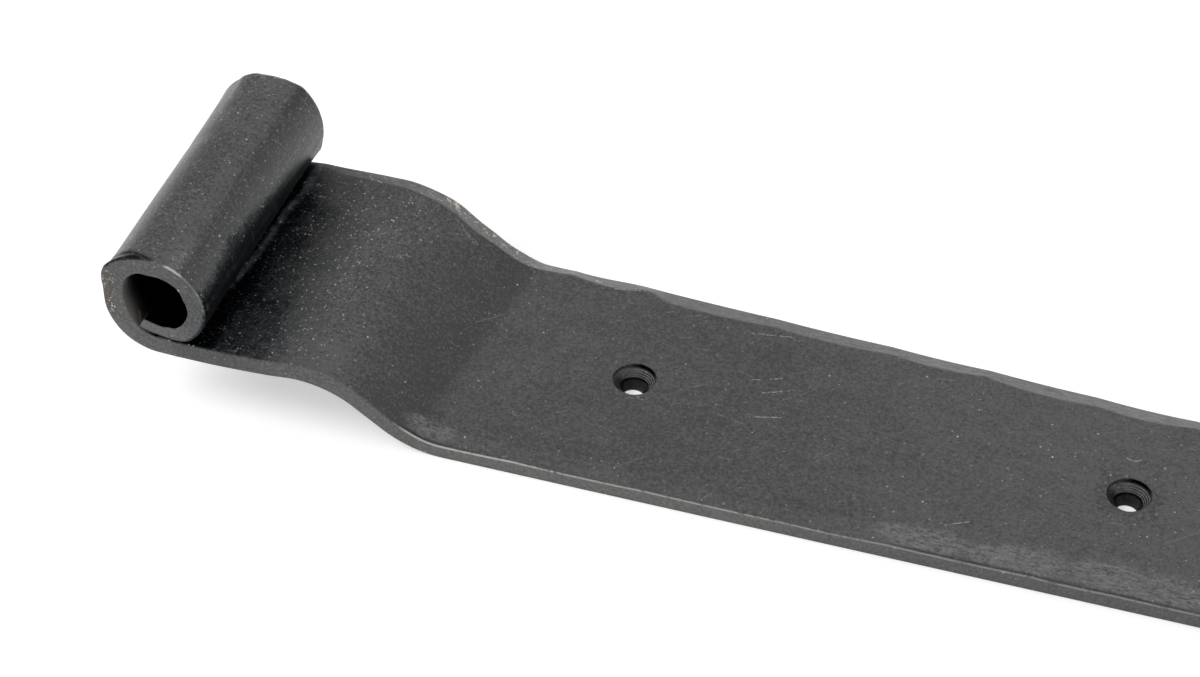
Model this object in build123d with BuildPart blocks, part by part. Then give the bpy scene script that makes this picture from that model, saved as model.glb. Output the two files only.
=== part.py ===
import os
from math import atan2, ceil, cos, degrees, hypot, radians, sin, sqrt

from build123d import *

# Cranked hinge band: one strap of forged strip, cranked up at its wide end and rolled there into an eye.
# The origin is the middle of the eye's bore, X runs along the band to its tip, Y lies along the bore,
# and Z points away from the door that the back of the band lies on. Angles in the eye are in degrees
# about the bore, from X towards Z.

# Strap
strip_thickness = 3.8
eye_width = 50.8
tip_width = 28.6
overall_length = 457.0
tip_corner_radius = 3.0

# Rolled eye
bore_diameter = 12.0
roll_in_angle = 170.0
root_upset = 2.5
scarf_loss = 0.5
tail_thickness = 2.0
tail_contact = 1.8
tail_end_angle = -115.0
tail_end_round = 0.35
seam_gap = 0.15

# Crank, with bend radii on the inside of each bend
crank_offset = 9.75
crank_angle = 37.0
foot_radius = 14.0
crest_radius = 16.0
crest_lift = 7.0
settle_radius = 108.0
raised_run = 7.9

# Countersunk screw holes along the middle
hole_diameter = 5.0
countersink_diameter = 7.8
countersink_angle = 90.0
first_hole = 75.5
hole_pitch = 85.0
least_end_margin = 20.0

# Hammered bevel on the top edges
bevel_width = 3.4
bevel_drop = 1.1
bevel_fade = 26.0
bevel_at_eye = 0.15
hammer_pitch = 12.0
hammer_turn = 12.0
hammer_width = 0.7
hammer_drop = 0.18
width_rhythm = 2.4
drop_rhythm = 1.7

bore_radius = bore_diameter / 2
half_thickness = strip_thickness / 2


def around(centre, radius, angle):
    """The point on a circle in the strip's side view, as x and z."""
    return centre[0] + radius * cos(radians(angle)), centre[1] + radius * sin(radians(angle))


# The strip comes in under the tail on an entry arc, which runs into the bore's circle at roll_in_angle.
# Outside, the roll is a circle set off towards the entry, so the wall thins by scarf_loss on the far side.
under_bore = tail_thickness + seam_gap
raised_top = -bore_radius - under_bore
entry_radius = bore_radius + under_bore / (1 + sin(radians(roll_in_angle)))
entry_centre = around((0, 0), bore_radius - entry_radius, roll_in_angle)
roll_centre = around((0, 0), scarf_loss / 2, roll_in_angle)
roll_radius = bore_radius + strip_thickness - scarf_loss / 2
roll_left = roll_centre[0] - roll_radius

# The strip is upset where it turns up into the eye: the underside runs on past the turn of the inner face,
# by root_upset, so its corner is fuller than the inner one, and then it rises straight to the roll.
root_x = entry_centre[0]
underside = raised_top - strip_thickness
corner_x = root_x - root_upset
corner_radius = corner_x - roll_left
corner_centre = (corner_x, underside + corner_radius)

# The heel is the tight arc that turns the roll down on to the band, where the tail then lies.
tail_seat = raised_top + seam_gap
heel_x = entry_centre[0] + tail_contact
heel_across = heel_x - roll_centre[0]
heel_down = tail_seat - roll_centre[1]
heel_radius = (roll_radius**2 - heel_across**2 - heel_down**2) / (2 * (roll_radius + heel_down))
heel_centre = (heel_x, tail_seat + heel_radius)
heel_angle = degrees(atan2(heel_centre[1] - roll_centre[1], heel_across))

# The tail ends on a line through the bore's axis.
tail_inner = around((0, 0), bore_radius, tail_end_angle)
along_tail_end = (tail_inner[0] * entry_centre[0] + tail_inner[1] * entry_centre[1]) / bore_radius
tail_reach = along_tail_end + sqrt(
    along_tail_end**2 + (entry_radius - seam_gap) ** 2 - hypot(*entry_centre) ** 2
)
tail_outer = around((0, 0), tail_reach, tail_end_angle)
tail_lie = degrees(atan2(tail_outer[1] - entry_centre[1], tail_outer[0] - entry_centre[0])) % 360

# The crank's sloping stretch makes up the height that its bends leave.
foot_middle = foot_radius + half_thickness
crest_middle = crest_radius + half_thickness
slope_sin = sin(radians(crank_angle))
slope_cos = cos(radians(crank_angle))
lift_sin = sin(radians(crest_lift))
lift_cos = cos(radians(crest_lift))
bend_height = foot_middle * (1 - slope_cos) + crest_middle * (lift_cos - slope_cos)
bend_height -= settle_radius * (1 - lift_cos)
slope_length = (crank_offset - bend_height) / slope_sin
crank_length = foot_middle * slope_sin + slope_length * slope_cos
crank_length += crest_middle * (slope_sin + lift_sin) + settle_radius * lift_sin

crank_foot = root_x + raised_run + crank_length
raised_middle = raised_top - half_thickness
flat_middle = raised_middle - crank_offset
flat_top = flat_middle + half_thickness
tip_x = overall_length + roll_left
taper = (eye_width - tip_width) / 2 / tip_x


def half_width(x):
    """Half the band's width, which is full over the eye and tapers from its axis to the tip."""
    return eye_width / 2 - taper * max(x, 0)


def face_line(above_middle):
    """One face of the strip in side view, from the tip over the crank to the eye's root."""
    level = flat_middle + above_middle
    flat = Line((tip_x, level), (crank_foot, level))
    foot = JernArc(flat @ 1, flat % 1, foot_middle - above_middle, -crank_angle)
    slope = Line(foot @ 1, foot @ 1 + (foot % 1) * slope_length)
    crest = JernArc(slope @ 1, slope % 1, crest_middle + above_middle, crank_angle + crest_lift)
    settle = JernArc(crest @ 1, crest % 1, settle_radius - above_middle, -crest_lift)
    Line(settle @ 1, (root_x, raised_middle + above_middle))
    return [flat, foot, slope, crest, settle]


# Side view of the whole strip: underside, round the eye to the end of its tail, and back along the top
with BuildSketch(Plane.XZ) as side_view:
    with BuildLine():
        face_line(-half_thickness)
        Line((root_x, underside), (corner_x, underside))
        CenterArc(corner_centre, corner_radius, 270, -90)
        Line((roll_left, corner_centre[1]), (roll_left, roll_centre[1]))
        CenterArc(roll_centre, roll_radius, 180, heel_angle - 180)
        CenterArc(heel_centre, heel_radius, heel_angle, -90 - heel_angle)
        Line((heel_x, tail_seat), (root_x, tail_seat))
        CenterArc(entry_centre, entry_radius - seam_gap, 270, tail_lie - 270)
        Line(tail_outer, tail_inner)
        CenterArc((0, 0), bore_radius, tail_end_angle, roll_in_angle - tail_end_angle)
        CenterArc(entry_centre, entry_radius, roll_in_angle, 270 - roll_in_angle)
        top_line = face_line(half_thickness)
        Line((tip_x, flat_top), (tip_x, flat_top - strip_thickness))
    make_face()
    tail_corners = side_view.vertices().sort_by_distance(tail_inner)[:1]
    tail_corners += side_view.vertices().sort_by_distance(tail_outer)[:1]
    fillet(tail_corners, tail_end_round)


def hammered_cut(planes, shares):
    """The metal that the hammer takes off along a top edge, as flat blows between one plane and the next.

    Each plane stands across the edge, with its x axis outwards and its y axis up from the strip.
    """
    with BuildPart() as cut:
        for blow, (plane, share) in enumerate(zip(planes, shares)):
            width = share * (bevel_width + hammer_width * sin(width_rhythm * blow + plane.x_dir.Y))
            drop = share * (bevel_drop + hammer_drop * sin(drop_rhythm * blow - plane.x_dir.Y))
            # The cut is twice the bevel's size, so that it runs clear of the metal.
            with BuildSketch(plane):
                with Locations((width / 2, drop / 2)):
                    Polygon((0, 0), (-2 * width, 0), (0, -2 * drop), align=None)
        loft(ruled=True, clean=False)
    return cut.part


def side_cut(side):
    """The bevel along one side, from the tip to where it fades out beside the eye."""
    past_tip = (tip_x + bevel_width, side * half_width(tip_x), flat_top)
    planes = [Plane(past_tip, (0, side, 0), (side, 0, 0))]
    for edge in top_line:
        turn = (edge % 0).get_angle(edge % 1)
        blows = ceil(max(edge.length / hammer_pitch, turn / hammer_turn))
        for blow in range(blows):
            point = edge @ ((blow + 1) / blows)
            ahead = edge % ((blow + 1) / blows) * -side
            origin = (point.X, side * half_width(point.X), point.Y)
            planes.append(Plane(origin, (0, side, 0), (ahead.X, 0, ahead.Y)))
    fade_start = planes[-1].origin.X
    shares = [min(bevel_at_eye + (plane.origin.X - fade_start) / bevel_fade, 1) for plane in planes]
    return hammered_cut(planes, shares)


def tip_cut():
    """The bevel across the tip."""
    reach = tip_width / 2 + bevel_width
    blows = ceil(2 * reach / hammer_pitch)
    planes = []
    for blow in range(blows + 1):
        across = reach - 2 * reach * blow / blows
        planes.append(Plane((tip_x, across, flat_top), (1, 0, 0), (0, -1, 0)))
    return hammered_cut(planes, [1] * len(planes))


bevel_cuts = [side_cut(-1), side_cut(1), tip_cut()]

with BuildPart() as band:
    extrude(side_view.sketch, amount=eye_width / 2, both=True)

    # Plan of the strap: square over the eye, tapering from the eye's axis to the tip
    with BuildSketch() as plan:
        with BuildLine():
            Polyline(
                (-2 * roll_radius, -eye_width / 2),
                (0, -eye_width / 2),
                (tip_x, -tip_width / 2),
                (tip_x, tip_width / 2),
                (0, eye_width / 2),
                (-2 * roll_radius, eye_width / 2),
                close=True,
            )
        make_face()
        fillet(plan.vertices().group_by(Axis.X)[-1], tip_corner_radius)
    extrude(amount=overall_length, both=True, mode=Mode.INTERSECT)

    for bevel_cut in bevel_cuts:
        add(bevel_cut, mode=Mode.SUBTRACT)

    # Screw holes, countersunk from the top
    hole_count = 1 + int((tip_x - least_end_margin - first_hole) / hole_pitch)
    hole_places = [(first_hole + hole_pitch * place, 0) for place in range(hole_count)]
    with Locations(Plane.XY.offset(flat_top)):
        with Locations(*hole_places):
            CounterSinkHole(
                radius=hole_diameter / 2,
                counter_sink_radius=countersink_diameter / 2,
                depth=strip_thickness,
                counter_sink_angle=countersink_angle,
            )

band.part.label = "band"

os.makedirs("parts", exist_ok=True)
export_step(band.part, "parts/band.step")
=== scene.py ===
import math

import bmesh
import bpy
import numpy as np
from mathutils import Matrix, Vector, noise


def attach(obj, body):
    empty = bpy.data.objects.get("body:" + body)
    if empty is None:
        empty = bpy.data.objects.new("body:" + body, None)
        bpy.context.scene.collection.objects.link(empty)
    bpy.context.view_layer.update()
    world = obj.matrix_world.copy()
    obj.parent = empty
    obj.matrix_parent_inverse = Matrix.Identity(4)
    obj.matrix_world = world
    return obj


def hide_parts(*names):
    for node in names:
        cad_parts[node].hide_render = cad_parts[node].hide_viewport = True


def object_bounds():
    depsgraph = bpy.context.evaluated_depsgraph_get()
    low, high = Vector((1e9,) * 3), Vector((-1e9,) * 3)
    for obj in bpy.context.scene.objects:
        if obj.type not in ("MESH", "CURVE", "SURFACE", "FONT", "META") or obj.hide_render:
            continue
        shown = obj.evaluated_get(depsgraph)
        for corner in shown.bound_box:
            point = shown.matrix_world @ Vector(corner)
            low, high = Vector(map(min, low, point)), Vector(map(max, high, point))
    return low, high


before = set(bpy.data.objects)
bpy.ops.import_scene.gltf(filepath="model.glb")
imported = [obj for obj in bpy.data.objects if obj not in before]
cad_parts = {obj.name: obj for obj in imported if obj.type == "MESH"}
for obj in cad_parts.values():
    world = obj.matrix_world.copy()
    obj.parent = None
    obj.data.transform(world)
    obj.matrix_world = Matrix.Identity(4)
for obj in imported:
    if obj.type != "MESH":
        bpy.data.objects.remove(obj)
cad_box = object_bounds()

# Strip of the band, in millimetres. One bar of mild steel, drawn narrower towards the tip, cranked up on its
# way to the eye, and rolled round a mandrel there. The thinned tail of the roll lies on the strip, unwelded.
strip_thickness = 3.8
eye_half = 25.4
tip_half = 14.3
tip_x = 447.204
tip_corner = 3.0
flat_middle = -19.8
bore_radius = 6.0
entry_radius = 7.832
entry_centre = np.array((1.804, -0.318))
underside = -11.95
root_corner = np.array((-0.696, -2.85))
root_corner_radius = 9.1
roll_radius = 9.55
roll_centre = np.array((-0.246, 0.043))
heel_radius = 3.877
heel_centre = np.array((3.604, -4.123))
heel_angle = -47.3
roll_in_angle = 170.0
tail_seat = -8.0
tail_arc_radius = 7.682
tail_end_angle = -118.0
tail_round = 0.4
roll_step = 2.5

# Stretches of the strip from the tip to the eye: length along the middle, turn, and step of the mesh.
crank_turn = math.radians(37.0)
settle_turn = math.radians(7.0)
crest_turn = crank_turn + settle_turn
foot_radius = 15.9
crest_radius = 17.9
settle_radius = 108.0
slope_length = 6.45
raised_run = 7.9
crank_foot = 50.54
fine_from = 190.0
stretches = [
    (tip_corner, 0.0, 0.3),
    (tip_x - tip_corner - fine_from, 0.0, 1.2),
    (fine_from - crank_foot, 0.0, 0.8),
    (foot_radius * crank_turn, -crank_turn, 0.5),
    (slope_length, 0.0, 0.5),
    (crest_radius * crest_turn, crest_turn, 0.5),
    (settle_radius * settle_turn, -settle_turn, 0.6),
    (raised_run, 0.0, 0.6),
]


def heading_line(angle):
    """A direction in the side view, as x and z, from an angle in radians."""
    return np.array((math.cos(angle), math.sin(angle)))


def ray(angle):
    """A direction from the bore's axis in the side view, from an angle in degrees."""
    return heading_line(math.radians(angle))


face_points = []
back_points = []
turns = []
place = np.array((tip_x, flat_middle))
heading = math.pi
for length, turn, step in stretches:
    count = round(length / step)
    for k in range(count + 1):
        ahead = heading + turn * k / count
        if turn:
            chord = 2 * length / turn * math.sin((ahead - heading) / 2)
        else:
            chord = length * k / count
        spot = place + chord * heading_line((heading + ahead) / 2)
        if k < count:
            up = heading_line(ahead - math.pi / 2)
            face_points.append(spot + up * strip_thickness / 2)
            back_points.append(spot - up * strip_thickness / 2)
            turns.append(360.0)
    place = spot
    heading = ahead


def reach(angle, centre, radius):
    """How far a ray runs to the far side of a circle, with its centre given from the ray's start."""
    along = ray(angle) @ centre
    return along + math.sqrt(along**2 + radius**2 - centre @ centre)


def bearing(point):
    """The angle in degrees at which a point of the side view stands about the bore's axis."""
    return math.degrees(math.atan2(point[1], point[0]))


def root_point(angle):
    """Where a ray from the entry's centre meets the upset root: its underside, its corner or its left."""
    to_under = (underside - entry_centre[1]) / min(ray(angle)[1], -0.001)
    to_left = (roll_centre[0] - roll_radius - entry_centre[0]) / min(ray(angle)[0], -0.001)
    met = entry_centre + min(to_under, to_left) * ray(angle)
    if met[1] > roll_centre[1]:
        met = entry_centre + reach(angle, roll_centre - entry_centre, roll_radius) * ray(angle)
    elif met[0] < root_corner[0] and met[1] < root_corner[1]:
        met = entry_centre + reach(angle, root_corner - entry_centre, root_corner_radius) * ray(angle)
    return met


for angle in np.arange(270.0, roll_in_angle, -roll_step):
    entry = entry_centre + entry_radius * ray(angle)
    sunk_seat = np.interp(bearing(entry) % 360, (222, 244, 258, 271, 281), (0, 0.65, 0.49, 0.24, 0))
    face_points.append(entry + sunk_seat * ray(bearing(entry)))
    back_points.append(root_point(angle))
    turns.append(bearing(back_points[-1]) % 360)
heel_starts = bearing(roll_centre + roll_radius * ray(heel_angle))
heel_ends = bearing((heel_centre[0], tail_seat))
seat_ends = bearing((entry_centre[0], tail_seat))
tail_steps = tail_end_angle + np.array((1.8, 1.2, 0.6, 0.2, 0))
tail_out_at = (tail_end_angle, -110, -104, -92, -82, -74, -62, -50)
tail_out_by = (0.8, 0.57, 0.35, 0.03, -0.06, 0.12, 0.14, 0)
tail_in_at = (tail_end_angle, -110, -100, -90, -80, -70, -60)
tail_in_by = (0.75, 0.9, 0.85, 0.75, 0.5, 0.45, 0)
for angle in np.append(np.arange(roll_in_angle, tail_end_angle + 2, -roll_step), tail_steps):
    if angle > heel_starts:
        outer = reach(angle, roll_centre, roll_radius)
    elif angle > heel_ends:
        outer = reach(angle, heel_centre, heel_radius)
    elif angle > seat_ends:
        outer = tail_seat / ray(angle)[1]
    else:
        outer = reach(angle, entry_centre, tail_arc_radius)
    outer += np.interp(angle, tail_out_at, tail_out_by)
    swollen_tail = np.interp(angle, tail_in_at, tail_in_by)
    to_end = min((angle - tail_end_angle) / 3.5, 1)
    blunt = tail_round * (1 - math.sqrt(1 - (1 - to_end) ** 2))
    face_points.append((bore_radius - swollen_tail + blunt) * ray(angle))
    back_points.append((outer - 0.3 * blunt) * ray(angle))
    turns.append(angle)
face_points = np.array(face_points)
back_points = np.array(back_points)
turns = np.array(turns)
stations = len(turns)
upward = face_points - back_points
upward /= np.linalg.norm(upward, axis=1)[:, None]
middle = (face_points + back_points) / 2
run = np.append(0, np.cumsum(np.linalg.norm(np.diff(middle, axis=0), axis=1)))
in_eye = turns < 359
strap_x = np.where(in_eye, 0, middle[:, 0])

# Columns of the mesh across the strip, close together near the edges, where the hammer has worked.
half_width = eye_half - (eye_half - tip_half) * np.clip(strap_x, 0, None) / tip_x
into_corner = np.clip(strap_x - (tip_x - tip_corner), 0, tip_corner)
half_width -= tip_corner - np.sqrt(tip_corner**2 - into_corner**2)
near_edge = np.array(
    (0, 0.12, 0.3, 0.5, 0.75, 1.05, 1.4, 1.8, 2.2, 2.55, 2.85)
    + (3.1, 3.35, 3.6, 3.85, 4.1, 4.4, 4.8, 5.4, 6.2, 7.4)
)
middle_columns = 9
shares = np.arange(1, middle_columns + 1) / middle_columns
inward = np.hstack(
    (
        np.broadcast_to(near_edge, (stations, len(near_edge))),
        near_edge[-1] + (half_width[:, None] - near_edge[-1]) * shares,
    )
)
inward = np.hstack((inward, inward[:, -2::-1]))
columns = inward.shape[1]
centre_column = columns // 2
front = np.arange(columns) < centre_column
across = np.where(front, -1, 1) * (half_width[:, None] - inward)


def waves(points, scale, seed):
    """Smooth unevenness between about -1 and 1, with lumps of roughly that size."""
    flat = points.reshape(-1, 3) / scale + seed
    return np.array([noise.noise(Vector(p)) for p in flat]).reshape(points.shape[:-1])


def hump(values, centre, spread):
    """1 at the centre, falling away over the spread."""
    return np.exp(-(((values - centre) / spread) ** 2))


def larger(a, b, soften):
    """The greater of two depths, with the ridge where they meet softened."""
    share = np.clip(0.5 + 0.5 * (b - a) / soften, 0, 1)
    return a + (b - a) * share + soften * share * (1 - share)


# Hammered edges. Each blow leaves a flat that slopes off the top edge, a little dished along it, and the
# flats meet in soft ridges, so that the bevel's inner border wanders in long shallow scallops.
blow_dish = 0.24
blow_overlap = 0.75
ridge_softness = 0.015


def hammered(depth, slope, seed):
    """How far the hammer has knocked down an edge, for each distance inward from it."""
    draw = np.random.default_rng(seed)
    drop = np.zeros_like(inward)
    centre = -10.0
    while centre < run[-1] + 20:
        half_blow = draw.uniform(6, 15)
        centre += half_blow
        blow = depth * draw.uniform(0.9, 1.08)
        fall = slope * draw.uniform(0.9, 1.12)
        tilt = draw.uniform(-0.12, 0.12)
        off = (run[:, None] - centre) / half_blow
        flat = blow[:, None] * (1 - blow_dish * off**2 + tilt * off) - fall[:, None] * inward
        drop = larger(drop, np.where(abs(off) < 2, flat, -1), ridge_softness)
        centre += half_blow * blow_overlap
    return drop


front_depth = np.interp(
    strap_x, (14, 36, 44, 48, 112, 128, 180, 215), (0.03, 0.1, 0.6, 0.9, 0.9, 0.78, 0.8, 1)
)
front_slope = np.interp(strap_x, (108, 126, 180, 215), (0.3, 0.17, 0.17, 0.24))
plain_depth = 1.02
back_depth = np.interp(
    strap_x,
    (8, 13, 20, 26, 30, 36, 46, 50, 57, 62, 66),
    (0.15, 0.4, 0.45, 0.55, 0.7, plain_depth, plain_depth, 1.5, 1.6, 1.3, plain_depth),
)
back_slope = np.interp(strap_x, (24, 34), (0.16, 0.29)) * np.maximum(back_depth / plain_depth, 1)
back_slope *= 1 + 0.8 * hump(strap_x, 70.5, 2.2)
front_depth[in_eye] = 0
back_depth[in_eye] = 0
face_drop = np.where(front, hammered(front_depth, front_slope, 5), hammered(back_depth, back_slope, 8))
tip_in = np.where(in_eye, 99, tip_x - middle[:, 0])[:, None]
tip_drop = 1.0
tip_slope = 0.29
tip_bevel = tip_drop + 0.15 * np.sin(across / 3.1) - tip_slope * tip_in
face_drop = larger(face_drop, tip_bevel, 0.05)
beaten = face_drop.copy()
# A narrow groove just inside the front top edge, in stretches along the strip, cut a little into the mesh and
# also painted as a black shadow line.
groove_and_shadow_strength = np.interp(strap_x, (42, 45, 52, 62, 122, 132, 172, 182), (0, 0.8, 0.5, 0, 0, 0.7, 0.6, 0))
groove = hump(inward, 0.36, 0.13) * front * groove_and_shadow_strength[:, None]
face_drop += 0.1 * groove


def rounding(radius):
    """How far a corner of that radius falls away, for each distance inward from it."""
    radius = np.broadcast_to(radius[:, None], inward.shape)
    return radius - np.sqrt(radius**2 - np.clip(radius - inward, 0, None) ** 2)


face_drop += rounding(np.where(in_eye, 0.06, 0.12))
back_drop = rounding(np.where(in_eye, np.interp(turns, (-70, -40), (0.08, 0.35)), 0.15))

# Rims of the eye, dressed with the hammer: the front one is mushroomed out at its top left, over a crease
# given a painted shadow line and painted shade, and burred a little into the bore. The far one has corners
# where the roll was struck round.
lapped = np.interp(turns, (86, 92, 150, 160), (0, 1, 1, 0)) * in_eye
lap_width = np.interp(turns, (86, 95, 105, 116, 130, 146, 158), (0, 0.2, 0.8, 1.35, 1.15, 1.3, 0.9))[:, None]
facet = front * lapped[:, None] * np.clip((lap_width - inward) / 0.3, 0, 1)
lip_width = np.interp(turns, (95, 118, 150), (0.2, 0.3, 0.5))[:, None]
lip = front * lapped[:, None] * hump(inward, lap_width + 0.1, lip_width)
mushroomed = np.interp(turns, (100, 120, 135, 150, 162, 178), (0, 0.1, 0.5, 0.85, 0.55, 0)) * in_eye
back_drop += 0.12 * facet + 0.2 * lip - front * mushroomed[:, None] * np.exp(-inward / 1.1)
burred = np.interp(
    turns,
    (-45, -30, -10, 0, 20, 32, 45, 60, 80, 92, 101, 110, 118, 142, 155, 172, 205, 225),
    (0, 0.12, 0.12, 0.25, 0.5, 0.28, 0.18, 0.3, 0.45, 0.55, 0.48, 0.15, 0, 0, 0.1, 0.3, 0.3, 0),
)
face_drop -= front * (burred * in_eye)[:, None] * np.exp(-inward / 4)
struck = np.interp(
    turns,
    (-60, -45, -28, -16, 2, 20, 38, 56, 68, 92, 110, 122, 130, 140, 150, 165, 185),
    (0, 0.45, 0.45, 0.12, 0.15, 0.31, 0.72, 1.2, 0.69, 0.48, 0.57, 0.45, 0.12, 0.14, 0.22, 0.5, 0),
)
back_drop -= ~front * (struck * in_eye)[:, None] * np.exp(-inward / 5)
slope_back = np.interp(turns, (100, 140, 165, 225, 262), (0, 0.2, 0.35, 0.3, 0)) * in_eye
crease = hump(across, 7.6, 0.9) * (hump(turns, 130, 22) * in_eye)[:, None]
back_drop += 0.2 * crease

# The crank is a little askew: its bends cross the strip further towards the tip at the back.
skew_per_mm = 0.031
skew = skew_per_mm * np.interp(strap_x, (6, 16, 52, 74), (0, 1, 1, 0))[:, None] * across
edge_pull = np.clip(1 - inward / 12, 0, 1)
spread = np.where(front, -0.25, 0.4) * np.interp(strap_x, (4, 20), (0, 1))[:, None] * edge_pull
pulled_in = np.where(front, slope_back[:, None] * np.exp(-inward / 2.5), 0)
back_rise = 0.8 * hump(strap_x, 15, 11) + 0.3 * hump(strap_x, 33, 3) + 0.4 * hump(strap_x, 43, 6)
back_rise *= np.interp(strap_x, (4, 9), (0, 1))
back_lift = ~front * back_rise[:, None] * np.clip(1 - inward / 9, 0, 1)


def sheet(points, offset, sideways):
    """One face of the strip as a grid of points, moved off its line in the side view and across."""
    along = points[:, :1] + upward[:, :1] * offset + skew
    return np.dstack((along, sideways, points[:, 1:] + upward[:, 1:] * offset))


face_mesh = sheet(face_points, back_lift - face_drop, across + spread)
back_mesh = sheet(back_points, back_lift + back_drop, across + spread + pulled_in)

# Slow unevenness from the hammer and the fire: nearly all inward, and none where the back lies on the door.
face_wave = 0.06 * waves(face_mesh * (1, 0.6, 1), 17.0, 3.7) - 0.05
back_wave = 0.1 + 0.12 * waves(back_mesh * (1, 0.4, 1), 7.0, 9.1)
back_wave *= np.clip((middle[:, 1] + 19) / 4, 0, 1)[:, None]
face_mesh = sheet(face_points, back_lift - face_drop + face_wave, across + spread)
back_mesh = sheet(back_points, back_lift + back_drop + back_wave, across + spread + pulled_in)

# Side walls, from the back's edge up to the face's edge, and the eye's cut ends with them.
wall_rows = 7
mm_per_metre = 1000.0
rise = np.arange(1, wall_rows + 1) / (wall_rows + 1)
back_wall = back_mesh[:, -1:] + (face_mesh[:, -1:] - back_mesh[:, -1:]) * rise[:, None]
front_wall = face_mesh[:, :1] + (back_mesh[:, :1] - face_mesh[:, :1]) * rise[:, None]
front_wall[:, :, 1] = face_mesh[:, :1, 1] + slope_back[:, None] * np.interp(rise, (0.45, 1), (0, 1))
ring = np.hstack((back_mesh, back_wall, face_mesh[:, ::-1], front_wall))
ring = np.clip(ring, np.array(cad_box[0]) * mm_per_metre, np.array(cad_box[1]) * mm_per_metre)
around = ring.shape[1]
points = list(map(tuple, ring.reshape(-1, 3)))


def at(station, spot):
    """The number of a mesh point, from its station along the strip and its spot round the outline."""
    return station * around + spot % around


def on_back(station, column):
    """The number of the back's point in that column."""
    return at(station, column)


def on_face(station, column):
    """The number of the face's point in that column."""
    return at(station, 2 * columns + wall_rows - 1 - column)


# Screw holes along the middle: drilled, with the drill's ragged lip left at the back, and countersunk from
# the top with a short upright land at the rim. The mesh is opened in a window round each hole, and filled
# with rings that go down the countersink and out at the back.
hole_first = 75.5
hole_pitch = 85.0
hole_count = 5
hole_radius = 2.5
lip_radius = 1.9
lip_shift = (0, -0.85)
hole_shift = np.array((-0.15, 0.33))
sink_radius = 3.75
sink_land = 0.7
rim_ease = 0.1
rim_drop = 0.06
land_lean = 0.04
cone_rings = 8
ring_ridge = 0.05
shadow_depth = 0.45
lip_start = 1.1
lip_middle = 0.6
lip_end = 0.15
lip_flare = 1.08
window_half = 6.0
shadowed_side = math.radians(70)
flat_back = flat_middle - strip_thickness / 2
cone_depth = sink_radius - hole_radius
land_radius = sink_radius - land_lean

windows = []
open_quads = set()
for hole_x in hole_first + hole_pitch * np.arange(hole_count):
    first, last = np.nonzero(abs(strap_x - hole_x) <= window_half)[0][[0, -1]]
    low, high = np.nonzero(abs(across[first]) <= window_half)[0][[0, -1]]
    windows.append((hole_x, first, last, low, high))
    open_quads.update((i, j) for i in range(first, last) for j in range(low, high))

faces = []
for i in range(stations - 1):
    for spot in range(around):
        column = None
        if spot < columns - 1:
            column = spot
        elif columns + wall_rows <= spot < 2 * columns + wall_rows - 1:
            column = 2 * columns + wall_rows - 2 - spot
        if (i, column) not in open_quads:
            faces.append((at(i, spot), at(i, spot + 1), at(i + 1, spot + 1), at(i + 1, spot)))
for end in (0, stations - 1):
    for column in range(columns - 1):
        corners = [on_back(end, column), on_back(end, column + 1)]
        if column == columns - 2:
            corners += [at(end, columns + k) for k in range(wall_rows)]
        corners += [on_face(end, column + 1), on_face(end, column)]
        if column == 0:
            corners += [at(end, 2 * columns + wall_rows + k) for k in range(wall_rows)]
        faces.append(corners)

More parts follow.
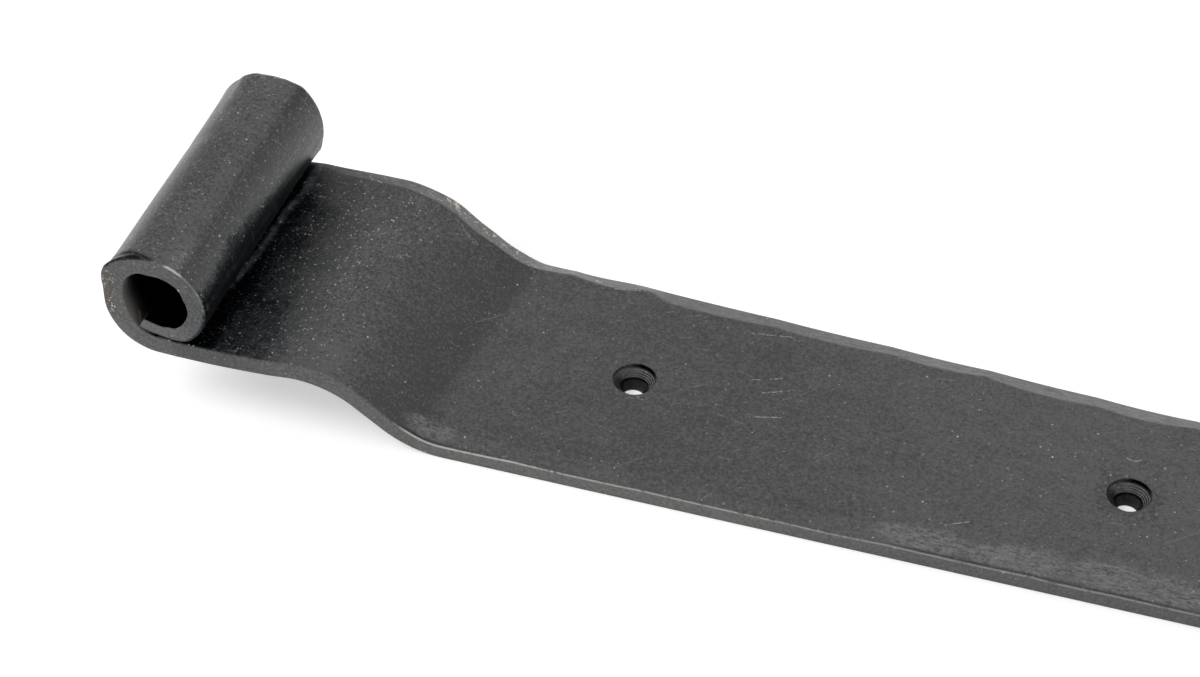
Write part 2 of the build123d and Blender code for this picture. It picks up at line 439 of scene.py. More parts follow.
hole_marks = {"hole_grime_and_shade": [], "painted_shadow_line": [], "rubbed_and_lit": [], "rust": []}
for hole_x, first, last, low, high in windows:
    border = [(first, j) for j in range(low, high)] + [(i, high) for i in range(first, last)]
    border += [(last, j) for j in range(high, low, -1)] + [(i, low) for i in range(last, first, -1)]
    above = np.array([points[on_face(*spot)] for spot in border]) - (hole_x, 0, 0)
    below = np.array([points[on_back(*spot)] for spot in border]) - (hole_x, 0, 0)
    circle = above[:, :2] / np.linalg.norm(above[:, :2], axis=1)[:, None]
    round_it = np.degrees(np.arctan2(circle[:, 1], circle[:, 0])) % 360
    # Painted shadow: a black crescent on the land and down the top of the hole's wall, on the side away from
    # the light.
    to_shadow = circle @ heading_line(shadowed_side)
    black = np.clip(3 * (to_shadow - 0.6), 0, 1)
    far_half = np.clip(1.5 * to_shadow + 0.2, 0, 1)
    # Painted light and shade on the countersink: its rings are painted alternately lit and shaded, most on
    # its far right, its upper left is painted lighter, and real grime darkens its left.
    ring_light_and_shade = np.interp(round_it, (0, 20, 45, 80, 105, 130, 330, 360), (0.4, 0.9, 1, 0.9, 0.3, 0, 0, 0.4))
    grime = np.interp(round_it, (140, 170, 190, 225, 260), (0, 0.8, 0.9, 0.7, 0))
    cone_painted_light = np.interp(round_it, (80, 105, 140, 165, 330, 350), (0, 0.5, 0.5, 0, 0, 0.2))
    land = sink_land * (0.15 + 0.85 * np.clip(0.5 + 0.8 * to_shadow, 0, 1))
    top = above[:, 2].mean()
    rim = circle * (sink_radius + rim_ease) + hole_shift
    wall = circle * hole_radius + hole_shift
    drill_lip = circle * lip_radius + lip_shift + hole_shift
    rings = [[on_face(*spot) for spot in border]]
    steps = []
    for share in (0.35, 0.65, 0.88):
        steps.append((above[:, :2] * (1 - share) + rim * share, above[:, 2] * (1 - share) + top * share, {}))
    steps.append((rim, top, {"rust": 0.7 * grime}))
    on_land = {"hole_grime_and_shade": grime, "painted_shadow_line": black}
    steps.append((circle * sink_radius + hole_shift, top - rim_drop, on_land))
    steps.append((circle * land_radius + hole_shift, top - land, on_land))
    for k in range(1, cone_rings + 1):
        depth = (cone_depth - land_lean) * k / cone_rings
        dull = k % 2
        plan = circle * (land_radius - depth + ring_ridge * dull) + hole_shift
        marked = {"hole_grime_and_shade": np.maximum(grime, dull * ring_light_and_shade), "rubbed_and_lit": cone_painted_light + (1 - dull) * ring_light_and_shade}
        steps.append((plan, top - land - depth, marked))
    cone_foot = top - land - cone_depth
    # Painted shade down the hole's wall.
    steps.append((wall, cone_foot - rim_drop, {"hole_grime_and_shade": 1, "painted_shadow_line": far_half}))
    steps.append((wall, cone_foot - shadow_depth, {"hole_grime_and_shade": 1, "painted_shadow_line": 0.8 * far_half}))
    steps.append((wall, flat_back + lip_start, {"hole_grime_and_shade": 1}))
    steps.append(((wall + drill_lip) / 2, flat_back + lip_middle, {"hole_grime_and_shade": 1}))
    steps.append((drill_lip, flat_back + lip_end, {"hole_grime_and_shade": 0.7}))
    steps.append(((drill_lip - hole_shift) * lip_flare + hole_shift, flat_back, {}))
    for share in (0.6, 0.3):
        steps.append((below[:, :2] * (1 - share) + drill_lip * share, below[:, 2], {}))
    for plan, height, marked in steps:
        rings.append(range(len(points), len(points) + len(border)))
        points += [(hole_x + x, y, z) for (x, y), z in zip(plan, np.broadcast_to(height, len(border)))]
        for name, values in hole_marks.items():
            values += list(np.broadcast_to(marked.get(name, 0), len(border)))
    rings.append([on_back(*spot) for spot in border])
    for outer, inner in zip(rings, rings[1:]):
        for k in range(len(border)):
            after = (k + 1) % len(border)
            faces.append((outer[k], outer[after], inner[after], inner[k]))

sharp_edge = math.radians(38)
mesh = bpy.data.meshes.new("forged_band")
mesh.from_pydata((np.array(points) / mm_per_metre).tolist(), [], faces)
shaped = bmesh.new()
shaped.from_mesh(mesh)
bmesh.ops.recalc_face_normals(shaped, faces=shaped.faces)
shaped.to_mesh(mesh)
shaped.free()
mesh.polygons.foreach_set("use_smooth", [True] * len(mesh.polygons))
mesh.set_sharp_from_angle(angle=sharp_edge)

# Marks on the mesh that tell the finish where the steel has been worked, worn or stained, and where shade,
# shadow lines and highlights are painted on. They follow the strip's own measures: x along it, how far inward
# from its edges, and the turn round the roll.
on_wall = np.zeros((stations, wall_rows))
x_ring = np.broadcast_to(strap_x[:, None], ring.shape[:2])
turn_ring = np.broadcast_to(turns[:, None], ring.shape[:2])
eye_ring = np.broadcast_to(in_eye[:, None], ring.shape[:2])
inward_ring = np.hstack((inward, on_wall, inward[:, ::-1], on_wall))
front_ring = np.hstack((front, [False] * wall_rows, front[::-1], [True] * wall_rows))
face_ring = np.hstack(([False] * (columns + wall_rows), [True] * columns, [False] * wall_rows))
back_ring = np.hstack(([True] * columns, [False] * (columns + 2 * wall_rows)))
wall_ring = ~face_ring & ~back_ring
depth_ring = np.hstack((0 * inward, on_wall + (1 - rise), 0 * inward, on_wall + rise))
ragged = waves(ring, 5.0, 1.3) + 0.5 * waves(ring, 1.8, 7.7)
y_ring = ring[:, :, 1]
strap_face = face_ring & ~eye_ring
roll_back = back_ring & eye_ring


def on_sheets(back, face):
    """A mark given for the strip's two faces, with nothing on the walls between."""
    return np.hstack((back + 0 * inward, on_wall, (face + 0 * inward)[:, ::-1], on_wall))


marks = {}
back_rub = np.interp(
    strap_x, (10, 15, 25, 31, 46, 52, 100, 118), (0.4, 0.85, 0.9, 1.6, 1.45, 0.55, 0.5, 0.76)
)
rub = np.maximum(np.where(front, 0.15, back_rub[:, None]), np.interp(tip_in, (3.5, 4.5), (0.8, 0)))
# Lighter where rubbing has worn the hammered bevels and the tip; the same mark carries the painted light on
# the countersinks' rings and upper left.
marks["rubbed_and_lit"] = on_sheets(0, rub * np.clip((beaten - 0.02) / 0.05, 0, 1))

# Painted shade inside the eye's bore: painted black beyond the rim, fading near the mouth at the front to a
# lighter brownish grey painted in for the light that gets in.
hidden = eye_ring & face_ring & (turn_ring < 262) & (inward_ring > 0.05)
marks["bore"] = hidden * 1.0
mouth_side = np.interp(turn_ring, (95, 130, 240, 262), (0, 1, 1, 0))
mouth_side = np.maximum(mouth_side, turn_ring < tail_end_angle + 0.3)
mouth_fade = np.interp(inward_ring, (0, 1.2, 3, 5.5), (1, 0.8, 0.35, 0))
marks["mouth"] = hidden * front_ring * mouth_side * mouth_fade

strap_wall = np.interp(x_ring, (0, 30, 55, 100, 130), (0, 0.4, 1.25, 1.25, 0.4))
eye_wall = np.interp(turn_ring, (-115, -95, -60, -30, 60, 150, 262), (0.9, 0.9, 0.7, 0.02, 0.02, 0.3, 0.35))
marks["cut_edge"] = wall_ring * np.where(eye_ring, eye_wall, strap_wall)

# Stain and painted shade on the raised strip beside the roll: darkest at the roll's foot and fading away from
# it, reaching further at the front, where it is held lighter, and less far at the back; a pale blued seam is
# left along the roll's foot.
to_front = np.clip((-y_ring - 4) / 18, 0, 1)
to_back = np.clip((y_ring - 14) / 6, 0, 1)
roll_foot = 6
near_eye = roll_foot + (x_ring - roll_foot) * (1 + 0.35 * to_front + 1.9 * to_back)
near_eye += 3 * ragged - 12 * to_front
shaded = np.interp(near_eye, (6, 10, 18, 25), (1, 0.75, 0.3, 0))
shaded = np.minimum(shaded, 1 - 0.4 * np.clip(1.6 * to_front, 0, 1) * np.interp(x_ring, (8, 10.5), (0, 1)))
seam_x = np.interp(y_ring, (-8, -2, 4, 10, 16, 20), (6.4, 6.9, 7.3, 7.3, 8, 8.4))
blued = hump(x_ring + 0.4 * ragged, seam_x, 0.6) * np.interp(y_ring, (-12, -8), (0, 1)) * strap_face
marks["blued"] = blued * np.clip(0.85 + 0.8 * ragged, 0.25, 1)
shaded = np.clip(shaded - 0.95 * marks["blued"], 0, 1) * strap_face
# Stain and painted shade on the roll's far flank, darker towards the front, lighter on a narrow ridge, darker
# beside the crown, and a little darker on the roll's left.
dark_flank = np.interp(y_ring, (-22, -12, -1.5, 9.7, 20), (20, 30, 20, 4, -6))
up_the_roll = turn_ring + 6 * ragged - dark_flank
rolled_dark = np.interp(up_the_roll, (-10, 0, 8, 19), (0.95, 0.65, 0.25, 0))
rolled_dark -= 0.25 * hump(turn_ring + 4 * ragged, 3, 4)
beside_crown = np.interp(turn_ring + 2 * ragged, (22, 40, 54, 60), (0, 1, 1, 0))
rolled_dark += (0.08 + 0.07 * np.interp(y_ring, (-20, -15), (1, 0))) * beside_crown
rolled_dark += 0.14 * hump(turn_ring, 100, 18) * hump(y_ring, -8, 14)
eye_stain = np.interp(turn_ring, (-115, -60, -30, 40, 80, 150, 262), (0, 0.03, 0.28, 0.28, 0.08, 0.13, 0.1))
root_wall = np.where(eye_ring, eye_stain, 0.3 * np.interp(x_ring, (0, 4, 14, 22), (0, 1, 1, 0))) * wall_ring
# The lap's facet under the eye's lip gets painted shade as well, and the walls by the eye are darkened.
marks["stain_and_shade"] = np.maximum(shaded, rolled_dark * roll_back) + root_wall + on_sheets(0.9 * facet, 0)
# Painted shadow lines: under the mushroomed lip on the eye's front rim, and in the groove along the strip's
# front top edge.
marks["painted_shadow_line"] = on_sheets(lip, 0.9 * groove)

worn_left = np.interp(turn_ring, (145, 165, 205, 225), (0, 1, 0.9, 0)) * eye_ring * front_ring * ~face_ring
outer_wall = np.interp(depth_ring, (0.35, 0.6), (0, 1))
marks["rust"] = worn_left * np.where(wall_ring, outer_wall, np.exp(-inward_ring / 1.5))

# Thin bright lines on the strip's front top edge and on the eye's rims: burnished edges with painted
# highlights on them.
corner_line = strap_face & front_ring & (inward_ring < 0.05)
rim_line = roll_back & front_ring & (inward_ring < 0.05)
far_line = roll_back & ~front_ring & (inward_ring < 0.35)
marks["burnish_and_highlight"] = corner_line * np.interp(x_ring, (41, 45, 58, 75, 120, 200), (0, 1.8, 1.8, 1, 0.6, 0.5))
marks["burnish_and_highlight"] += rim_line * np.interp(turn_ring, (-10, 10, 50, 57, 70, 74), (0, 0.25, 0.3, 1.8, 1.8, 0))
marks["burnish_and_highlight"] += far_line * np.interp(turn_ring, (15, 40, 110, 130), (0, 0.35, 0.35, 0))

scuff_places = (
    (46.6, 2.2, 5.2, 2.3),
    (130.5, 2.5, 8.5, 2.8),
    (147, 2.6, 10, 3),
    (166, 3, 15, 3.6),
    (200, 2.5, 9, 3),
    (231, 2.6, 13, 3),
    (268, 2.2, 8, 2.6),
    (304, 2.6, 14, 3),
    (341, 2.4, 9, 2.8),
    (385, 2.6, 13, 3),
)
scuff = 0 * ragged
for scuff_x, scuff_in, length, width in scuff_places:
    off = ((x_ring - scuff_x) / length) ** 2 + ((inward_ring - scuff_in) / width) ** 2
    scuff = np.maximum(scuff, np.clip(2.2 * (1 - off) + 0.9 * ragged, 0, 1))
scuff = scuff * np.interp(inward_ring, (0.35, 0.7), (0, 1)) * (strap_face & front_ring)
marks["scuff"] = scuff + 1.1 * hump(turn_ring, 63, 7) * hump(y_ring, -23, 5) * roll_back

askew = x_ring - 0.1 * y_ring
marks["rough"] = np.interp(askew, (44.5, 47.5), (1, 0)) * ~hidden
worn = np.interp(askew + 2 * ragged, (15, 23, 31, 38), (0, 1, 1, 0))
worn += 3.2 * hump(x_ring, 29, 6) * np.interp(y_ring, (-19, -12), (1, 0))
worn += 1.8 * np.interp(x_ring, (95, 140, 220, 300), (0, 1, 1, 0.4))
crown = 2.4 * np.interp(turn_ring + 2 * ragged, (58, 63, 76, 88), (0, 1, 1, 0))
marks["worn"] = worn * strap_face + (crown - 1.9 * beside_crown) * roll_back
marks["fold"] = np.interp(askew, (33, 44.5, 46.2, 48.5), (0, 1, 0.85, 0)) * strap_face

chip_places = (
    ((32.8, 24.0, -9.0), 1.0),
    ((34.5, 24.0, -9.8), 1.6),
    ((36.5, 23.8, -10.9), 0.9),
    ((38.5, 23.6, -12.2), 0.8),
    ((41.5, 23.9, -14.2), 0.9),
    ((44.0, 23.7, -15.9), 0.6),
    ((26.2, 13.2, -8.2), 1.3),
    ((61.5, 22.0, -18.6), 1.0),
)
chip = np.zeros(ring.shape[:2])
for centre, size in chip_places:
    chip = np.maximum(chip, np.exp(-((np.linalg.norm(ring - centre, axis=2) / size) ** 2)))
flaking = 0.53 * np.interp(strap_x, (12, 26, 32, 44, 56, 64), (0.3, 0.6, 1, 1, 0.6, 0.3))
bevel_flakes = flaking[:, None] * (beaten > 0.03) * ~front
marks["chip"] = np.maximum(chip * ~back_ring, on_sheets(0, bevel_flakes))
marks["dusty"] = np.interp(x_ring, (6, 10, 22, 34), (0.7, 1, 0.8, 0)) * strap_face + 0.25 * roll_back
marks["hole_grime_and_shade"] = on_sheets(0, 0)
no_mark = np.zeros(len(points) - ring.shape[0] * around)
for name, values in marks.items():
    values = np.append(values.reshape(-1), hole_marks.get(name, no_mark)).astype(np.float32)
    mesh.attributes.new(name, "FLOAT", "POINT").data.foreach_set("value", values)

band = bpy.data.objects.new("forged_band", mesh)
bpy.context.scene.collection.objects.link(band)


# Finish: forged steel, blacked in the fire and waxed, so it is a satin charcoal that is never quite even.
# Dust and small scratches show pale on it, and the worked edges are worn lighter. Shade, shadow lines and
# highlights are painted on in places.
class Shade:
    """A node's socket that takes part in arithmetic: each operator adds the Math node that works it out."""

    tree = None

    def __init__(self, socket):
        self.socket = socket

    @classmethod
    def node(cls, kind, settings, sockets, output=0):
        """Adds a node of that type, with its settings set first and then its sockets filled or linked."""
        made = cls.tree.nodes.new("ShaderNode" + kind)
        for name, value in settings.items():
            setattr(made, name, value)
        for name, value in sockets.items():
            if isinstance(value, Shade):
                cls.tree.links.new(value.socket, made.inputs[name])
            else:
                made.inputs[name].default_value = value
        return cls(made.outputs[output]) if made.outputs else made

    def also(self, output):
        """Another output of the same node."""
        return Shade(self.socket.node.outputs[output])

    @classmethod
    def maths(cls, operation, *values):
        """A Math node with that operation."""
        return cls.node("Math", {"operation": operation}, dict(enumerate(values)))

    @classmethod
    def vector(cls, operation, *values, output=0):
        """A Vector Math node with that operation."""
        return cls.node("VectorMath", {"operation": operation}, dict(enumerate(values)), output)

    def __add__(self, other):
        return self.maths("ADD", self, other)

    def __radd__(self, other):
        return self.maths("ADD", other, self)

    def __sub__(self, other):
        return self.maths("SUBTRACT", self, other)

    def __rsub__(self, other):
        return self.maths("SUBTRACT", other, self)

    def __mul__(self, other):
        return self.maths("MULTIPLY", self, other)

    def __rmul__(self, other):
        return self.maths("MULTIPLY", other, self)

    def between(self, low, high):
        """0 below the one value, 1 above the other, and smooth between them."""
        ends = {"Value": self, "From Min": low, "From Max": high}
        return self.node("MapRange", {"interpolation_type": "SMOOTHSTEP"}, ends)


def tint(mask, plain, marked):
    """One colour over another, where the mask says so."""
    return Shade.node("Mix", {"data_type": "RGBA"}, {0: mask, 6: plain, 7: marked}, 2)


blacked_steel = bpy.data.materials.new("blacked_steel")
blacked_steel.use_nodes = True
Shade.tree = blacked_steel.node_tree
Shade.tree.nodes.clear()
metres = Shade.node("TexCoord", {}, {}, "Object")
spot = Shade.node("VectorMath", {"operation": "SCALE"}, {0: metres, "Scale": mm_per_metre})


def cloud(size, detail, rough=0.6, where=spot):
    """Uneven tone with patches of about that size in millimetres."""
    sockets = {"Vector": where, "Scale": 1 / size, "Detail": detail, "Roughness": rough}
    return Shade.node("TexNoise", {}, sockets)


def mark(name):
    """How strongly a mark of that name lies on the mesh here."""
    return Shade.node("Attribute", {"attribute_name": name}, {}, "Fac")


def dust(cell, dot, chance, shift):
    """Pale specks up to that radius, in a share of cells of that size."""
    where = Shade.vector("ADD", spot, (shift, shift, shift))
    far = Shade.node("TexVoronoi", {}, {"Vector": where, "Scale": 1 / cell}, "Distance")
    lot = Shade.node("SeparateColor", {}, {"Color": far.also("Color")}, "Red")
    kept = lot.between(1 - chance, 1 - chance * 0.3)
    return (1 - far.between(0.4 * dot / cell, dot / cell)) * kept * (0.3 + 0.7 * lot.also("Green"))


broad = cloud(40.0, 2.0)
patchy = cloud(7.0, 4.0)
fleck = cloud(1.3, 3.0, 0.65)
grain = cloud(0.55, 2.0, 0.75)
smear = cloud(1.0, 2.0, 0.6, Shade.vector("MULTIPLY", spot, (0.05, 0.4, 0.4)))
brushed = cloud(0.4, 2.0, 0.7, Shade.vector("MULTIPLY", spot, (0.22, 1.0, 1.0)))


def scratches(cell, length, width, chance, shift):
    """Short fine scratches, most of them along the strip, in a share of cells of that size."""
    bent = Shade.vector("MULTIPLY_ADD", patchy.also("Color"), (1.5, 1.5, 1.5), spot)
    where = Shade.vector("ADD", bent, (shift, shift, shift))
    far = Shade.node("TexVoronoi", {}, {"Vector": where, "Scale": 1 / cell}, "Distance")
    off = Shade.vector("SUBTRACT", where, far.also("Position"))
    aim = Shade.vector("MULTIPLY_ADD", far.also("Color"), (0.6, 1.3, 0.0), (0.6, -0.35, 0.0))
    way = Shade.vector("NORMALIZE", aim)
    along = Shade.vector("DOT_PRODUCT", off, way, output="Value")
    level = Shade.vector("MULTIPLY", off, (1.0, 1.0, 0.0))
    squared = Shade.vector("DOT_PRODUCT", level, level, output="Value")
    beside = Shade.maths("SQRT", Shade.maths("MAXIMUM", squared - along * along, 0.0))
    lot = Shade.node("SeparateColor", {}, {"Color": far.also("Color")}, "Blue")
    kept = lot.between(1 - chance, 1 - chance * 0.5)
    ends = 1 - Shade.maths("ABSOLUTE", along).between(length * 0.3, length)
    return (1 - beside.between(width * 0.4, width)) * ends * kept * fleck.between(0.35, 0.6)


def scored(start, end, width):
    """One fine scratch between two places on the band."""
    lowered = Vector((1.0, 1.0, 0.2))
    stroke = (Vector(end) - Vector(start)) * lowered
    off = Shade.vector("SUBTRACT", Shade.vector("MULTIPLY", spot, lowered), Vector(start) * lowered)
    share = Shade.vector("DOT_PRODUCT", off, stroke / stroke.length_squared, output="Value")
    share = Shade.maths("MINIMUM", Shade.maths("MAXIMUM", share, 0.0), 1.0)
    nearest = Shade.node("VectorMath", {"operation": "SCALE"}, {0: stroke, "Scale": share})
    far = Shade.vector("DISTANCE", off, nearest, output="Value")
    return 1 - far.between(0.3 * width, width)


dark_scale = (0.044, 0.045, 0.045, 1)
light_scale = (0.106, 0.106, 0.106, 1)
rubbed_and_lit_steel = (0.21, 0.211, 0.208, 1)
scuffed_steel = (0.205, 0.205, 0.202, 1)
dark_edge = (0.085, 0.083, 0.08, 1)
light_edge = (0.16, 0.156, 0.148, 1)
stain_and_shade_black = (0.006, 0.010, 0.015, 1)
dark_blue = (0.02, 0.025, 0.032, 1)
light_blue = (0.095, 0.128, 0.168, 1)
bore_shade_black = (0.004, 0.0035, 0.003, 1)
mouth_painted_light = (0.31, 0.29, 0.275, 1)
dark_grime_and_shade = (0.010, 0.010, 0.010, 1)
light_grime_and_shade = (0.022, 0.022, 0.022, 1)
shadow_black = (0.003, 0.003, 0.004, 1)
rusty_ground = (0.026, 0.022, 0.018, 1)
rust_brown = (0.36, 0.21, 0.12, 1)
rust_cream = (0.80, 0.72, 0.58, 1)
burnished_highlight_steel = (0.52, 0.52, 0.51, 1)
chipped_ground = (0.03, 0.03, 0.03, 1)
chip_cream = (0.66, 0.60, 0.48, 1)
dust_grey = (0.62, 0.62, 0.60, 1)
scratch_grey = (0.36, 0.36, 0.355, 1)
scored_grey = (0.38, 0.37, 0.345, 1)
scored_copper = (0.62, 0.47, 0.41, 1)

rough = mark("rough")
tone = 0.4 + (0.7 + 0.3 * rough) * (patchy - 0.5) + 0.4 * (broad - 0.5) + 0.4 * (smear - 0.5)
tone = tone + (3.1 + 1.9 * rough) * (grain - 0.5) + (0.6 + 0.4 * rough) * (fleck - 0.5)
tone = tone + 0.17 * mark("worn") - 0.55 * mark("fold")
steel = tint(tone, dark_scale, light_scale)
# Bevels worn lighter by rubbing, and painted light in the countersinks.
rubbed_and_lit = mark("rubbed_and_lit") * (0.55 + 0.5 * fleck + 3.4 * (brushed - 0.5))
steel = tint(rubbed_and_lit, steel, rubbed_and_lit_steel)
scuffed = mark("scuff") * (0.08 + 0.7 * fleck + 2.6 * (brushed - 0.5) + 1.4 * (grain - 0.5))
steel = tint(scuffed, steel, scuffed_steel)
cut_edge = mark("cut_edge")
edge_grain = tint(grain.between(0.3, 0.7), dark_edge, light_edge)
steel = tint(0.8 * cut_edge, steel, edge_grain)
# Stain and painted shade, broken up by the grain.
stain_and_shade = mark("stain_and_shade") * (0.8 + 0.4 * patchy - 1.0 * (grain - 0.5) - 0.8 * (fleck - 0.5))
steel = tint(stain_and_shade, steel, stain_and_shade_black)
blue_flecks = tint(fleck.between(0.4, 0.54), dark_blue, light_blue)
steel = tint(mark("blued"), steel, blue_flecks)
# Painted shade in the bore, and painted light at its mouth.
mouth = mark("mouth")
bore = mark("bore") * (1 - mouth)
steel = tint(0.97 * bore, steel, bore_shade_black)
steel = tint(0.9 * mouth, steel, mouth_painted_light)
# Real grime on the countersinks' left, and painted shade in their rings and down the holes' walls.
hole_grime_and_shade = mark("hole_grime_and_shade")
steel = tint(0.85 * hole_grime_and_shade, steel, tint(fleck.between(0.4, 0.6), dark_grime_and_shade, light_grime_and_shade))
# Painted shadow lines in black: in the holes, under the eye's lip and along the front edge's groove.
painted_shadow_line = mark("painted_shadow_line")
steel = tint(painted_shadow_line, steel, shadow_black)
rust = mark("rust")
steel = tint(0.85 * rust, steel, rusty_ground)
pits = 2.2 * dust(0.45, 0.2, 0.6, 41.0) + 1.6 * dust(0.9, 0.3, 0.5, 47.0) + 0.12 * grain.between(0.5, 0.62)
steel = tint(rust * pits, steel, tint(fleck.between(0.42, 0.58), rust_brown, rust_cream))
# Burnished edges with painted highlights.
highlight_lines = mark("burnish_and_highlight") * fleck.between(0.25, 0.5)
steel = tint(0.95 * highlight_lines, steel, burnished_highlight_steel)
chip = mark("chip")
steel = tint(0.5 * chip, steel, chipped_ground)
flaked = (chip + 2.6 * (grain - 0.5) + 0.8 * (fleck - 0.5)).between(0.78, 0.95)
steel = tint(flaked, steel, chip_cream)

gathers = 0.4 + 0.6 * patchy.between(0.42, 0.6)
shown = 1 - Shade.maths("MAXIMUM", 0.85 * bore, 0.8 * hole_grime_and_shade)
specks = dust(2.0, 0.25, 0.7, 3.1) * gathers + 0.8 * dust(0.9, 0.16, 0.65, 11.7) * gathers
dusty = mark("dusty")
specks = specks * (1.0 + 0.8 * dusty) * (1 - 0.5 * cut_edge)
specks = specks + (0.1 + 2.0 * dusty * fleck.between(0.35, 0.65)) * dust(0.6, 0.2, 0.5, 23.0)
steel = tint(Shade.maths("MINIMUM", specks * shown, 0.95), steel, dust_grey)
lines = scratches(6.0, 2.2, 0.09, 0.3, 2.2) + scratches(13.0, 5.0, 0.08, 0.3, 31.0)
lines = lines * shown * (1 - cut_edge.between(0.02, 0.08))
steel = tint(Shade.maths("MINIMUM", 0.45 * lines, 0.6), steel, scratch_grey)
scored_lines = (
    ((91.0, 17.6, -17.95), (97.8, 18.9, -17.95)),
    ((97.2, 18.9, -17.95), (99.4, 18.2, -17.95)),
    ((94.1, 6.4, -17.95), (99.0, 8.4, -17.95)),
    ((96.8, 4.0, -17.95), (101.0, 5.9, -17.95)),
    ((96.4, -2.2, -17.95), (101.5, -0.6, -17.95)),
    ((133.5, -15.9, -17.95), (137.4, -13.7, -17.95)),
    ((158.0, 8.5, -17.95), (159.7, 8.2, -17.95)),
    ((159.7, 8.2, -17.95), (161.3, 9.3, -17.95)),
    ((58.1, -14.1, -17.95), (59.5, -14.5, -17.95)),
    ((63.8, 20.6, -18.0), (70.6, 22.1, -18.2)),
    ((35.9, 20.5, -9.6), (37.3, 20.1, -10.6)),
    ((37.3, 19.8, -10.6), (40.2, 19.1, -13.0)),
    ((38.0, 19.3, -11.3), (39.8, 18.7, -12.8)),
    ((-6.7, 6.7, 7.1), (-3.8, 6.55, 8.8)),
    ((9.1, -5.5, 1.8), (9.1, -5.6, -1.7)),
)
scored_width = 0.15
keen = 0
for start, end in scored_lines:
    keen = keen + scored(start, end, scored_width)
keen = Shade.maths("MINIMUM", keen, 1.0) * (grain + 0.4 * (fleck - 0.5)).between(0.4, 0.56)
steel = tint(0.85 * keen, steel, scored_grey)
in_mouth = scored((-4.45, -23.1, -5.4), (-3.75, -24.4, -6.15), 2 * scored_width)
steel = tint(0.8 * in_mouth, steel, scored_copper)

roughness = 0.36 + 0.2 * (patchy - 0.5) + 0.1 * (grain - 0.5)
height = 0.5 * grain + (0.4 + 0.8 * rough) * fleck
ripple = Shade.node("Bump", {}, {"Height": height, "Strength": 0.4, "Distance": 0.00006})
# Metallic takes the diffuse light off the places painted dark: the painted shadow lines, the bore, the
# darkest stain and shade, and the holes.
dead_black = Shade.maths("MAXIMUM", Shade.maths("MAXIMUM", painted_shadow_line, bore), 0.93 * stain_and_shade.between(0.3, 0.85))
dead_black = Shade.maths("MAXIMUM", dead_black, 0.55 * hole_grime_and_shade)
surface = {"Base Color": steel, "Roughness": roughness, "Normal": ripple, "Metallic": dead_black, "IOR": 1.5}
shine = Shade.node("BsdfPrincipled", {}, surface)
Shade.node("OutputMaterial", {}, {"Surface": shine})
mesh.materials.append(blacked_steel)
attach(band, "root")
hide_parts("band")

# Floor: a plain sheet of white paper that the band lies on. It glows for the camera and in reflections, so
# that it looks white to its edges and keeps only the soft shadow under the raised eye.
floor_half = 3.0
paper_white = (0.82, 0.82, 0.82, 1)
paper_glow = 0.48
table_height = cad_box[0].z
corners = [(x * floor_half, y * floor_half, table_height) for x, y in ((-1, -1), (1, -1), (1, 1), (-1, 1))]
floor_mesh = bpy.data.meshes.new("floor")
floor_mesh.from_pydata(corners, [], [(0, 1, 2, 3)])
floor = bpy.data.objects.new("floor", floor_mesh)
bpy.context.scene.collection.objects.link(floor)
white_sheet = bpy.data.materials.new("white_sheet")
white_sheet.use_nodes = True
Shade.tree = white_sheet.node_tree
Shade.tree.nodes.clear()
seen = Shade.node("LightPath", {}, {}, "Is Camera Ray")
paper = Shade.node("BsdfDiffuse", {}, {"Color": paper_white})
strength = (seen + seen.also("Is Glossy Ray")) * paper_glow
glow = Shade.node("Emission", {}, {"Color": (1, 1, 1, 1), "Strength": strength})
Shade.node("OutputMaterial", {}, {"Surface": Shade.node("AddShader", {}, {0: paper, 1: glow})})
floor_mesh.materials.append(white_sheet)

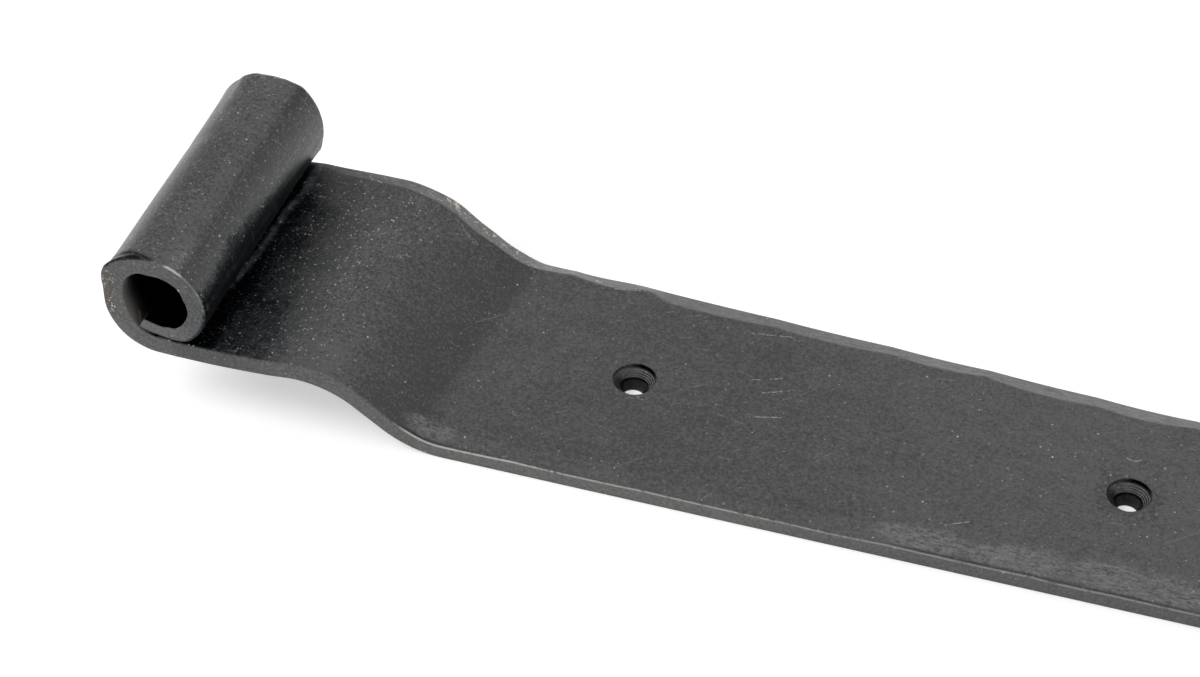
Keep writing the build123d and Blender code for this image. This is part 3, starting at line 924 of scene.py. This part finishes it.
# Light: a white room that is brightest near the floor at the back and dimmer overhead, at the left and behind
# the camera, with one large soft lamp in front on the left.
level_glow = 1.14
overhead_loss = 0.57
camera_side_loss = 0.25
left_loss = 0.7
least_glow = 0.1
room = bpy.data.worlds.new("white_room")
room.use_nodes = True
Shade.tree = room.node_tree
Shade.tree.nodes.clear()
direction = Shade.node("TexCoord", {}, {}, "Generated")
height = Shade.node("SeparateXYZ", {}, {"Vector": direction}, "Z")
behind = (0.234, -0.691, 0.684)
toward_camera = Shade.vector("DOT_PRODUCT", direction, behind, output="Value")
seen = Shade.node("LightPath", {}, {}, "Is Camera Ray")
from_left = Shade.node("SeparateXYZ", {}, {"Vector": direction}, "X").between(-0.35, -0.65)
glow = level_glow - overhead_loss * height.between(0.12, 0.5)
glow = glow - camera_side_loss * toward_camera.between(0.3, 0.9)
glow = glow - left_loss * from_left * (1 - height.between(0.2, 0.65))
glow = Shade.maths("MAXIMUM", glow, least_glow)
background = Shade.node("Background", {}, {"Color": (1, 1, 1, 1), "Strength": seen + (1 - seen) * glow})
Shade.node("OutputWorld", {}, {"Surface": background})
bpy.context.scene.world = room

lamp_place = Vector((-1.0, -0.35, 0.95))
lamp_aim = Vector((0.05, 0, 0))
lamp = bpy.data.lights.new("soft_lamp", "AREA")
lamp.size = 0.8
lamp.energy = 13.0
lamp_holder = bpy.data.objects.new("soft_lamp", lamp)
lamp_holder.visible_glossy = False
lamp_holder.location = lamp_place
lamp_holder.rotation_mode = "QUATERNION"
lamp_holder.rotation_quaternion = (lamp_aim - lamp_place).to_track_quat("-Z", "Y")
bpy.context.scene.collection.objects.link(lamp_holder)

# Camera: a long lens above the front of the band, a little to the right, so that the eye stands at the left
# of the picture and the tip runs out of it at the right.
camera_place = (0.18923, -0.35401, 0.34018)
azimuth = math.radians(18.72)
elevation = math.radians(43.14)
focal_pixels = 3043.9
image_width = 1200
level = math.cos(elevation)
look = Vector((-math.sin(azimuth) * level, math.cos(azimuth) * level, -math.sin(elevation)))
lens = bpy.data.cameras.new("camera")
lens.sensor_width = 36.0
lens.lens = focal_pixels * lens.sensor_width / image_width
lens.clip_start = 0.01
camera = bpy.data.objects.new("camera", lens)
camera.location = camera_place
camera.rotation_mode = "QUATERNION"
camera.rotation_quaternion = look.to_track_quat("-Z", "Y")
bpy.context.scene.collection.objects.link(camera)
bpy.context.scene.camera = camera
bpy.context.scene.view_settings.view_transform = "Standard"
